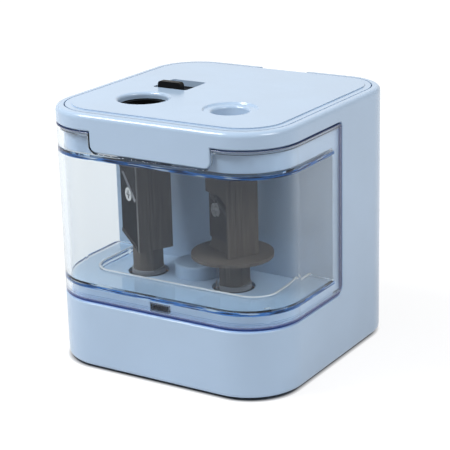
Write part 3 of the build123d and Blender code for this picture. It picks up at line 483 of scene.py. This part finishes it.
class SHARPENER_OT_cutters(Operator):
    """Finish the carriers, the blades and their screws"""
    bl_idname = "sharpener.cutters"
    bl_label = "Cutters"

    def execute(self, context):
        cutter = context.scene.sharpener_cutter
        face_angle = math.radians(-90 - CARRIER_TURN)
        corner_angle = face_angle + math.pi / 4
        face = (math.cos(face_angle), math.sin(face_angle), 0)
        corner = (math.cos(corner_angle), math.sin(corner_angle), 0)
        for side, (lift, painted_shade_tone, painted_highlight_tone) in CARRIER_SHADE_AND_HIGHLIGHT.items():
            block_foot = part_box(side + "_spindle_gear")[1][2] + lift * MM
            nylon = filled_nylon("filled_nylon_" + side, cutter.carrier, roughness=0.45)
            # Painted shade darkens the face that carries the blade; a painted highlight lightens the corner
            # chamfer beside it
            second_tone(nylon, faces_towards(face, block_foot), painted_shade_tone)
            second_tone(nylon, faces_towards(corner, block_foot), painted_highlight_tone)
            dress(nylon, side + "_carrier")
        blades = (("left", cutter.ground, cutter.blade), ("right", cutter.right_edge_painted_shade, cutter.right_face_painted_shade))
        for side, ground, blade in blades:
            steel = ground_metal(
                "ground_blade_steel_" + side, ground, roughness=0.4, grain_mm=0.35,
                squeeze=(0.05, 0.05, 1.0), rim="#BCBCBC")
            # On both blades the face gets the darker tone, a painted dark reflection; the right blade's tones
            # are also dimmed, painted shade
            second_tone(steel, faces_towards(face, 0.0), blade)
            dress(steel, side + "_blade")
        screw = ground_metal("zinc_plated_steel", cutter.screw, roughness=0.3, grain_mm=0.8)
        dress(screw, "left_blade_screw", "right_blade_screw", "base_screws", "frame_screws", "deck_screws")
        return {"FINISHED"}


class SHARPENER_OT_gear_train(Operator):
    """Finish the gears, their axles, the bushes and the frame that carries them"""
    bl_idname = "sharpener.gear_train"
    bl_label = "Gear train"

    def execute(self, context):
        shell = context.scene.sharpener_shell
        acetal = moulded("natural_acetal", "#D9D8CF", roughness=0.38, ior=1.48, peel_mm=0.9)
        dress(acetal, "idler_gear", "transfer_gear")
        # The spindle gears are near black below their collars, painted shade in the deck's holes, and grey
        # above, the acetal's own colour
        collar_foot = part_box("left_spindle_gear")[1][2] - COLLAR_RISE * MM
        grey_acetal_painted_shade = moulded("grey_acetal_painted_shade", "#2A2A2B", roughness=0.4, ior=1.48, peel_mm=0.9)
        second_tone(
            grey_acetal_painted_shade, lambda tree: within_heights(tree, collar_foot, cad_box[1][2]), "#85878A")
        dress(grey_acetal_painted_shade, "left_spindle_gear", "right_spindle_gear")
        dress(moulded("satin_abs_grey", shell.inner, roughness=0.4), "gear_frame", "battery_tray")
        ground = ground_metal(
            "ground_axle_steel", "#B9BBBE", roughness=0.22, grain_mm=0.3, squeeze=(1.0, 1.0, 0.05))
        dress(ground, "idler_axle", "transfer_axle", "motor_shaft")
        bronze = ground_metal(
            "sintered_bronze", "#A57B4B", roughness=0.5, grain_mm=0.25, scratch_um=12.0)
        dress(bronze, "spindle_bushes")
        brass = ground_metal(
            "turned_brass", "#CDA85C", roughness=0.25, grain_mm=0.3, squeeze=(1.0, 1.0, 0.1))
        dress(brass, "motor_pinion", "motor_terminals")
        return {"FINISHED"}


class SHARPENER_OT_motor(Operator):
    """Finish the motor"""
    bl_idname = "sharpener.motor"
    bl_label = "Motor"

    def execute(self, context):
        dress(ground_metal("plated_motor_steel", "#B4B6B8", roughness=0.28, grain_mm=1.5), "motor_can")
        dress(moulded("nylon_black", "#1B1B1C", roughness=0.45, peel_mm=0.6), "motor_end_cap")
        return {"FINISHED"}


class SHARPENER_OT_switches(Operator):
    """Finish the start switches, their plungers, the board and the return springs"""
    bl_idname = "sharpener.switches"
    bl_label = "Start switches"

    def spring(self, side, steel):
        """Smooth copy of the frame's return spring, attached to its spindle, in place of the frame's spring.
        """
        node = side + "_return_spring"
        bm = bmesh.new()
        bm.from_mesh(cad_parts[node].data)
        bmesh.ops.remove_doubles(bm, verts=bm.verts, dist=MICRON)
        coil = new_object(side + "_spring_coil", bm, steel)
        coil.data.shade_smooth()
        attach(coil, side + "_spindle")
        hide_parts(node)
        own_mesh(coil)

    def execute(self, context):
        dress(moulded("solder_mask_green", "#1E5B37", roughness=0.3), "start_board")
        black = moulded("switch_black", "#18181A", roughness=0.4)
        dress(black, "left_start_switch", "right_start_switch")
        grey = moulded("plunger_grey", "#8D8F92", roughness=0.42)
        dress(grey, "left_switch_plunger", "right_switch_plunger")
        steel = ground_metal("spring_steel", "#A9ABAE", roughness=0.25, grain_mm=0.3)
        for side in ("left", "right"):
            self.spring(side, steel)
        return {"FINISHED"}


class SHARPENER_OT_battery(Operator):
    """Finish the cells and their contacts"""
    bl_idname = "sharpener.battery"
    bl_label = "Battery"

    def execute(self, context):
        low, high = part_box("aa_cells")
        middle = (low[2] + high[2]) / 2
        foot, top = [middle + height * MM for height in CELL_STRIPE]
        wrap = moulded("printed_wrap_blue", "#2F5596", roughness=0.3)
        second_tone(wrap, lambda tree: within_heights(tree, foot, top), "#D5D9DE")
        for up in (1, -1):
            second_tone(wrap, faces_towards((0, 0, up), 0.0), "#B9BABC")
        dress(wrap, "aa_cells")
        nickel = ground_metal("nickel_plate", "#C9C6BE", roughness=0.2, grain_mm=0.9)
        dress(nickel, "battery_springs", "battery_plates")
        return {"FINISHED"}


class SHARPENER_OT_feet(Operator):
    """Finish the rubber feet"""
    bl_idname = "sharpener.feet"
    bl_label = "Feet"

    def execute(self, context):
        rubber = moulded("moulded_rubber", "#242426", roughness=0.75, peel_mm=0.4, peel_um=12.0)
        dress(rubber, "rubber_feet")
        return {"FINISHED"}


class SHARPENER_OT_stage(Operator):
    """Set the floor, the soft light and the camera"""
    bl_idname = "sharpener.stage"
    bl_label = "Stage"

    def seen_plainly(self, tree):
        """1 where the eye meets it straight, in a mirror or through glass, and 0 for scattered light."""
        path = add(tree, "LightPath").outputs
        seen = joined(tree, "MAXIMUM", *[
            path[kind] for kind in ("Is Camera Ray", "Is Glossy Ray", "Is Transmission Ray")])
        unscattered = joined(tree, "LESS_THAN", path["Diffuse Depth"], 0.5)
        return joined(tree, "MULTIPLY", seen, unscattered)

    def floor_glow(self, tree, place, settings):
        """Strength of the floor's glow: none under the housing, most of it close by, all of it far away. The
        gap in the glow along the housing's outline is a painted contact shadow, and the far glow's ramp
        paints shade that fades out from the housing.
        """
        corner = BASE_CORNER * MM
        half = (cad_box[1][0] - corner, cad_box[1][1] - corner, 1.0)
        past = add(tree, "VectorMath", {"operation": "ABSOLUTE"}, {0: place}).outputs["Vector"]
        for operation, other in (("SUBTRACT", half), ("MAXIMUM", (0, 0, 0))):
            past = add(tree, "VectorMath", {"operation": operation}, {0: past, 1: other}).outputs["Vector"]
        away = add(tree, "VectorMath", {"operation": "LENGTH"}, {0: past}).outputs["Value"]
        return joined(tree, "ADD", *[
            ramp(tree, away, corner + start * MM, corner + full * MM, end=strength)
            for (start, full), strength in ((NEAR_GLOW, settings.near_glow), (FAR_GLOW, settings.far_glow))])

    def floor(self, settings):
        """Pale floor that the eye sees as white, with the contact shadow round the housing: partly real, from
        the dim shading, and partly painted, by the glow's gap along the outline.
        """
        bm = bmesh.new()
        bmesh.ops.create_grid(bm, x_segments=1, y_segments=1, size=3.0)
        material, tree, place = new_material("pale_floor")
        pale = add(tree, "BsdfDiffuse", inputs={"Color": linear(settings.floor)})
        dim = add(tree, "BsdfDiffuse", inputs={"Color": linear(settings.shadow)})
        glow = add(tree, "Emission", inputs={
            "Color": (1, 1, 1, 1), "Strength": self.floor_glow(tree, place, settings)})
        lit = add(tree, "AddShader", inputs={0: dim.outputs["BSDF"], 1: glow.outputs["Emission"]})
        mix = add(tree, "MixShader", inputs={
            0: self.seen_plainly(tree), 1: pale.outputs["BSDF"], 2: lit.outputs["Shader"]})
        add(tree, "OutputMaterial", inputs={"Surface": mix.outputs["Shader"]})
        new_object("floor", bm, material)

    def world(self, settings):
        """Dim light from all round, which the eye sees as white."""
        world = bpy.data.worlds.new("soft_box")
        world.use_nodes = True
        tree = world.node_tree
        tree.nodes.clear()
        room, white = [
            add(tree, "Background", inputs={"Color": (1, 1, 1, 1), "Strength": strength})
            for strength in (settings.room, 1.0)]
        mix = add(tree, "MixShader", inputs={
            0: self.seen_plainly(tree), 1: room.outputs["Background"], 2: white.outputs["Background"]})
        add(tree, "OutputWorld", inputs={"Surface": mix.outputs["Shader"]})
        bpy.context.scene.world = world

    def lamp(self, name, place, size, watts):
        """Round soft lamp that points at the middle of the part."""
        light = bpy.data.lights.new(name, "AREA")
        light.shape = "DISK"
        light.size = size
        light.energy = watts
        lamp = bpy.data.objects.new(name, light)
        lamp.location = place
        middle = Vector((0, 0, cad_box[1][2] / 2))
        lamp.rotation_euler = (Vector(place) - middle).to_track_quat("Z", "Y").to_euler()
        bpy.context.scene.collection.objects.link(lamp)

    def camera(self, settings):
        """Camera that stands and looks as the settings say."""
        level_part = math.cos(settings.tilt)
        back = Vector((
            math.sin(settings.turn) * level_part,
            -math.cos(settings.turn) * level_part,
            math.sin(settings.tilt)))
        level = Vector((0, 0, 1)).cross(back).normalized()
        upright = back.cross(level)
        right = level * math.cos(settings.roll) + upright * math.sin(settings.roll)
        up = upright * math.cos(settings.roll) - level * math.sin(settings.roll)
        view = bpy.data.cameras.new("camera")
        view.lens = settings.lens
        view.sensor_width = 36.0
        camera = bpy.data.objects.new("camera", view)
        turned = Matrix((right, up, back)).transposed().to_4x4()
        camera.matrix_world = Matrix.Translation(settings.place) @ turned
        bpy.context.scene.collection.objects.link(camera)
        bpy.context.scene.camera = camera

    def execute(self, context):
        settings = context.scene.sharpener_stage
        context.scene.view_settings.view_transform = "Standard"
        self.floor(settings)
        self.world(settings)
        self.lamp("key", (-0.36, -0.32, 0.68), 0.35, settings.key)
        self.lamp("fill", (0.7, -0.1, 0.75), 0.5, settings.fill)
        self.camera(settings)
        return {"FINISHED"}


OPERATORS = (
    SHARPENER_OT_shells,
    SHARPENER_OT_bin,
    SHARPENER_OT_guide,
    SHARPENER_OT_cutters,
    SHARPENER_OT_gear_train,
    SHARPENER_OT_motor,
    SHARPENER_OT_switches,
    SHARPENER_OT_battery,
    SHARPENER_OT_feet,
    SHARPENER_OT_stage,
)


class SHARPENER_PT_panel(Panel):
    """The sharpener's settings, pieces and stage"""
    bl_idname = "SHARPENER_PT_panel"
    bl_label = "Pencil sharpener"
    bl_space_type = "VIEW_3D"
    bl_region_type = "UI"
    bl_category = "Sharpener"

    def draw(self, context):
        for name, group in GROUPS.items():
            box = self.layout.box()
            for setting in group.__annotations__:
                box.prop(getattr(context.scene, name), setting)
        for operator in OPERATORS:
            self.layout.operator(operator.bl_idname)


GROUPS = {
    "sharpener_shell": ShellFinish,
    "sharpener_clear": ClearFinish,
    "sharpener_cutter": CutterFinish,
    "sharpener_stage": StageSettings,
}


def register():
    for group in GROUPS.values():
        bpy.utils.register_class(group)
    for operator in OPERATORS:
        bpy.utils.register_class(operator)
    bpy.utils.register_class(SHARPENER_PT_panel)
    for name, group in GROUPS.items():
        setattr(bpy.types.Scene, name, PointerProperty(type=group))


def unregister():
    for name in GROUPS:
        delattr(bpy.types.Scene, name)
    bpy.utils.unregister_class(SHARPENER_PT_panel)
    for operator in OPERATORS:
        bpy.utils.unregister_class(operator)
    for group in GROUPS.values():
        bpy.utils.unregister_class(group)


def main():
    register()
    for operator in OPERATORS:
        group, name = operator.bl_idname.split(".")
        getattr(getattr(bpy.ops, group), name)()


if __name__ == "__main__":
    main()
